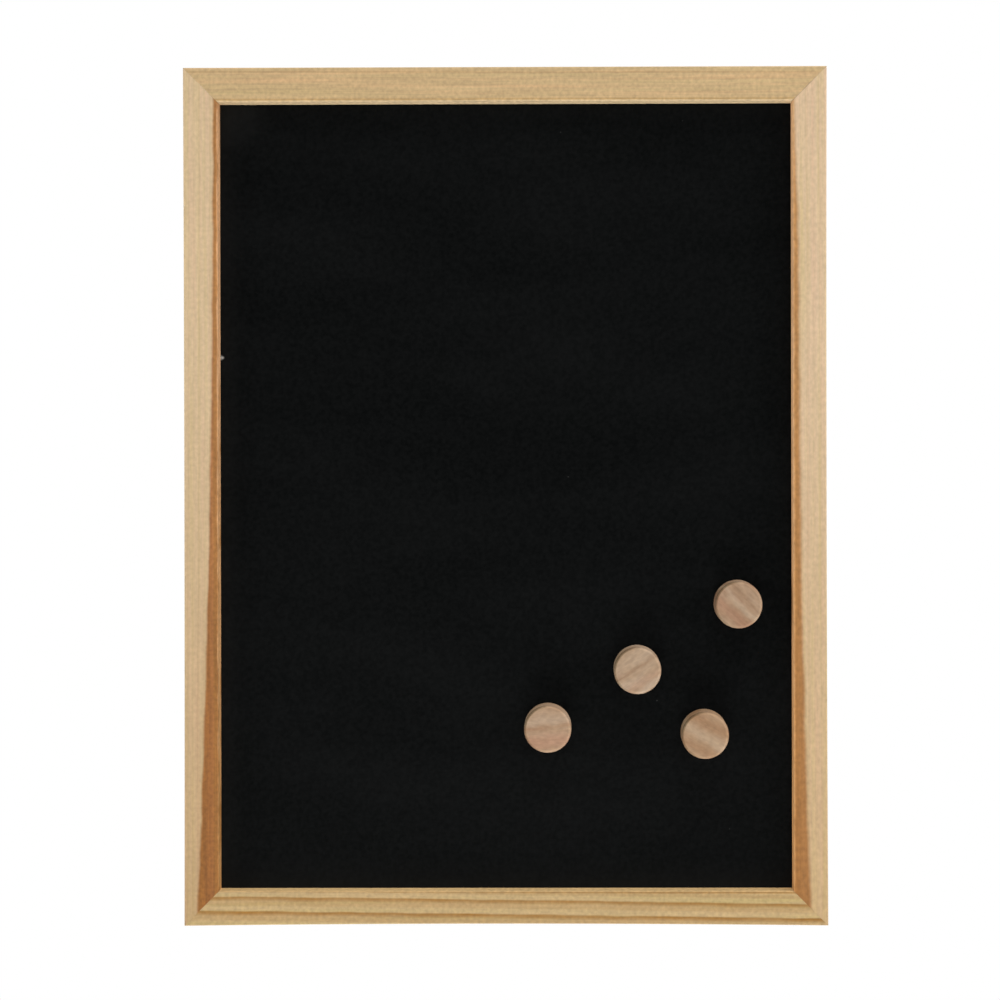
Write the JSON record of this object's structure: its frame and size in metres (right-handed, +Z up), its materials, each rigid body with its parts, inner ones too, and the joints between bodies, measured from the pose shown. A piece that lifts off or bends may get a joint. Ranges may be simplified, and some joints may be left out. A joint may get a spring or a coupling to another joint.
{
  "type": "chalkboard",
  "caption": "Small upright magnetic chalkboard: matt black steel writing sheet in a mitred pine frame, with round wooden magnets on it and sawtooth hangers behind.",
  "frame": {"origin": "where the board hangs on its wall nail: mid width, at the middle notch of the upper sawtooth hanger, on the plane of the rails' back faces", "axes": "+X to the right seen from the front, +Y towards the wall, +Z up the long side"},
  "size_m": [0.3, 0.0202, 0.4],
  "materials": {
    "pine": "planed, sanded and clear matt sealed",
    "black_enamel": "matt chalkboard enamel on steel sheet",
    "hardboard": "raw pressed fibreboard",
    "steel": "zinc plated",
    "brassed_steel": "brass plated pressing",
    "beech": "sanded, unfinished",
    "nickel": "nickel plated magnet"
  },
  "bodies": {
    "board": {"top_rail": "pine", "bottom_rail": "pine", "left_stile": "pine", "right_stile": "pine", "steel_writing_sheet": "black_enamel", "backing_board": "hardboard", "v_nail_top_left": "steel", "v_nail_top_right": "steel", "v_nail_bottom_left": "steel", "v_nail_bottom_right": "steel", "framers_point_top_1": "steel", "framers_point_top_2": "steel", "framers_point_bottom_1": "steel", "framers_point_bottom_2": "steel", "framers_point_left_1": "steel", "framers_point_left_2": "steel", "framers_point_left_3": "steel", "framers_point_right_1": "steel", "framers_point_right_2": "steel", "framers_point_right_3": "steel", "sawtooth_hanger_top": "brassed_steel", "sawtooth_hanger_right": "brassed_steel", "hanger_nail_top_1": "steel", "hanger_nail_top_2": "steel", "hanger_nail_right_1": "steel", "hanger_nail_right_2": "steel"},
    "magnet_1": {"wooden_disc_1": "beech", "disc_magnet_1": "nickel"},
    "magnet_2": {"wooden_disc_2": "beech", "disc_magnet_2": "nickel"},
    "magnet_3": {"wooden_disc_3": "beech", "disc_magnet_3": "nickel"},
    "magnet_4": {"wooden_disc_4": "beech", "disc_magnet_4": "nickel"}
  },
  "joints": [
    {"name": "magnet_1_lift", "type": "slide", "parent": "board", "child": "magnet_1", "axis": [0, -1, 0], "range_m": [0, 0.03]},
    {"name": "magnet_2_lift", "type": "slide", "parent": "board", "child": "magnet_2", "axis": [0, -1, 0], "range_m": [0, 0.03]},
    {"name": "magnet_3_lift", "type": "slide", "parent": "board", "child": "magnet_3", "axis": [0, -1, 0], "range_m": [0, 0.03]},
    {"name": "magnet_4_lift", "type": "slide", "parent": "board", "child": "magnet_4", "axis": [0, -1, 0], "range_m": [0, 0.03]}
  ]
}
